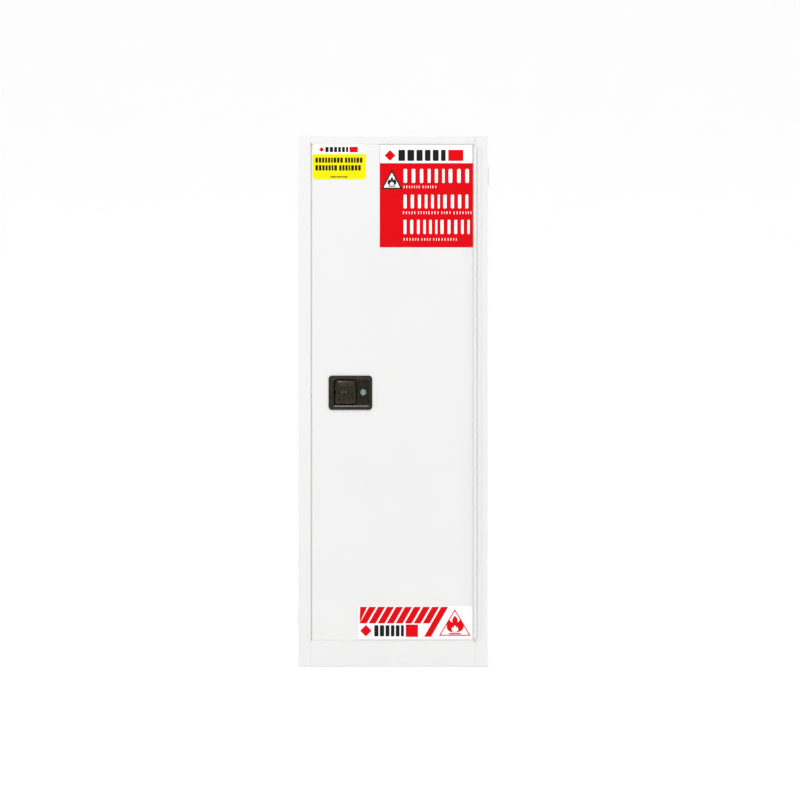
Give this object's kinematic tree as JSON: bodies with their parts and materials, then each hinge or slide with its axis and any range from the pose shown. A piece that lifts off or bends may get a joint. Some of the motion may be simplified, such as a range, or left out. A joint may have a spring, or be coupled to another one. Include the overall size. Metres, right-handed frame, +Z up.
{
  "type": "flammable storage cabinet",
  "caption": "Slim-line double-walled steel safety cabinet with a hinged door, recessed paddle latch with key lock, adjustable shelves, sump, capped vents and levelling feet.",
  "frame": {"origin": "at the floor, under the middle of the cabinet's outline", "axes": "+Z up, +X to the right of someone who faces the door, -Y out of the door"},
  "size_m": [0.6126, 0.46, 1.65],
  "materials": {
    "white_paint": "semi-gloss powder coat",
    "black_coat": "satin black coating on die-cast metal",
    "lock_metal": "satin nickel plate",
    "zinc_steel": "bright zinc plate",
    "galvanised": "galvanised sheet",
    "foot_rubber": "matt",
    "label_yellow": "printed vinyl",
    "label_red": "printed vinyl",
    "label_white": "printed vinyl"
  },
  "bodies": {
    "cabinet": {"outer_side_left": "white_paint", "outer_side_right": "white_paint", "outer_top": "white_paint", "outer_back": "white_paint", "outer_floor": "white_paint", "frame_stile_left": "white_paint", "frame_stile_right": "white_paint", "frame_head": "white_paint", "frame_sill": "white_paint", "liner_side_left": "white_paint", "liner_side_right": "white_paint", "liner_back": "white_paint", "liner_top": "white_paint", "sump_pan": "white_paint", "vent_collar_low": "zinc_steel", "vent_collar_high": "zinc_steel", "flame_screen_low": "zinc_steel", "flame_screen_high": "zinc_steel", "earth_stud": "zinc_steel", "earth_nut": "zinc_steel", "foot_nut_front_left": "zinc_steel", "foot_nut_front_right": "zinc_steel", "foot_nut_rear_left": "zinc_steel", "foot_nut_rear_right": "zinc_steel", "shelf_standard_front_left": "white_paint", "shelf_standard_front_right": "white_paint", "shelf_standard_rear_left": "white_paint", "shelf_standard_rear_right": "white_paint", "shelf_1_bracket_left": "galvanised", "shelf_1_bracket_right": "galvanised", "shelf_2_bracket_left": "galvanised", "shelf_2_bracket_right": "galvanised", "shelf_3_bracket_left": "galvanised", "shelf_3_bracket_right": "galvanised", "hinge_leaf_frame": "white_paint", "hinge_pin": "zinc_steel"},
    "door": {"door_outer_skin": "white_paint", "door_inner_skin": "white_paint", "hinge_leaf_door": "white_paint", "handle_housing": "black_coat", "paddle_pin": "zinc_steel", "lock_barrel": "lock_metal", "label_title": "label_yellow", "label_warning": "label_red", "label_stripe": "label_white"},
    "paddle": {"paddle": "black_coat"},
    "lock": {"lock_plug": "lock_metal"},
    "rotor": {"latch_rotor": "zinc_steel"},
    "centre_bolt": {"centre_bolt": "zinc_steel"},
    "rod_top": {"rod_top": "zinc_steel"},
    "rod_bottom": {"rod_bottom": "zinc_steel"},
    "foot_front_left": {"foot_front_left": "foot_rubber"},
    "foot_front_right": {"foot_front_right": "foot_rubber"},
    "foot_rear_left": {"foot_rear_left": "foot_rubber"},
    "foot_rear_right": {"foot_rear_right": "foot_rubber"},
    "vent_cap_low": {"vent_cap_low": "white_paint"},
    "vent_cap_high": {"vent_cap_high": "white_paint"},
    "shelf_1": {"shelf_1": "galvanised"},
    "shelf_2": {"shelf_2": "galvanised"},
    "shelf_3": {"shelf_3": "galvanised"}
  },
  "joints": [
    {"name": "door_swing", "type": "hinge", "parent": "cabinet", "child": "door", "pos_m": [0.2555, -0.2248, 0.8545], "axis": [0, 0, 1], "range_deg": [0, 180]},
    {"name": "paddle_pull", "type": "hinge", "parent": "door", "child": "paddle", "pos_m": [-0.173, -0.2168, 0.8555], "axis": [0, 0, 1], "range_deg": [-35, 0], "stiffness_Nm_per_rad": 1, "springref_deg": 11.46},
    {"name": "rotor_turn", "type": "hinge", "parent": "door", "child": "rotor", "pos_m": [-0.132, -0.1968, 0.8555], "axis": [0, -1, 0], "range_deg": [0, 35.1]},
    {"name": "centre_bolt_slide", "type": "slide", "parent": "door", "child": "centre_bolt", "axis": [1, 0, 0], "range_m": [0, 0.01263]},
    {"name": "rod_top_slide", "type": "slide", "parent": "door", "child": "rod_top", "axis": [0, 0, -1], "range_m": [0, 0.01263]},
    {"name": "rod_bottom_slide", "type": "slide", "parent": "door", "child": "rod_bottom", "axis": [0, 0, 1], "range_m": [0, 0.01263]},
    {"name": "lock_turn", "type": "hinge", "parent": "door", "child": "lock", "pos_m": [-0.0923, -0.2023, 0.854], "axis": [0, -1, 0], "range_deg": [0, 90]},
    {"name": "foot_front_left_adjust", "type": "slide", "parent": "cabinet", "child": "foot_front_left", "axis": [0, 0, 1], "range_m": [-0.02, 0]},
    {"name": "foot_front_right_adjust", "type": "slide", "parent": "cabinet", "child": "foot_front_right", "axis": [0, 0, 1], "range_m": [-0.02, 0]},
    {"name": "foot_rear_left_adjust", "type": "slide", "parent": "cabinet", "child": "foot_rear_left", "axis": [0, 0, 1], "range_m": [-0.02, 0]},
    {"name": "foot_rear_right_adjust", "type": "slide", "parent": "cabinet", "child": "foot_rear_right", "axis": [0, 0, 1], "range_m": [-0.02, 0]},
    {"name": "vent_cap_low_out", "type": "slide", "parent": "cabinet", "child": "vent_cap_low", "axis": [-1, 0, 0], "range_m": [0, 0.035]},
    {"name": "vent_cap_high_out", "type": "slide", "parent": "cabinet", "child": "vent_cap_high", "axis": [1, 0, 0], "range_m": [0, 0.035]},
    {"name": "shelf_1_lift", "type": "slide", "parent": "cabinet", "child": "shelf_1", "axis": [0, 0, 1], "range_m": [0, 0.03]},
    {"name": "shelf_2_lift", "type": "slide", "parent": "cabinet", "child": "shelf_2", "axis": [0, 0, 1], "range_m": [0, 0.03]},
    {"name": "shelf_3_lift", "type": "slide", "parent": "cabinet", "child": "shelf_3", "axis": [0, 0, 1], "range_m": [0, 0.03]}
  ],
  "couplings": [
    {"joint": "rotor_turn", "follows": "paddle_pull", "ratio": -1},
    {"joint": "centre_bolt_slide", "follows": "paddle_pull", "m_per_rad": -0.020646},
    {"joint": "rod_top_slide", "follows": "paddle_pull", "m_per_rad": -0.020646},
    {"joint": "rod_bottom_slide", "follows": "paddle_pull", "m_per_rad": -0.020646}
  ]
}
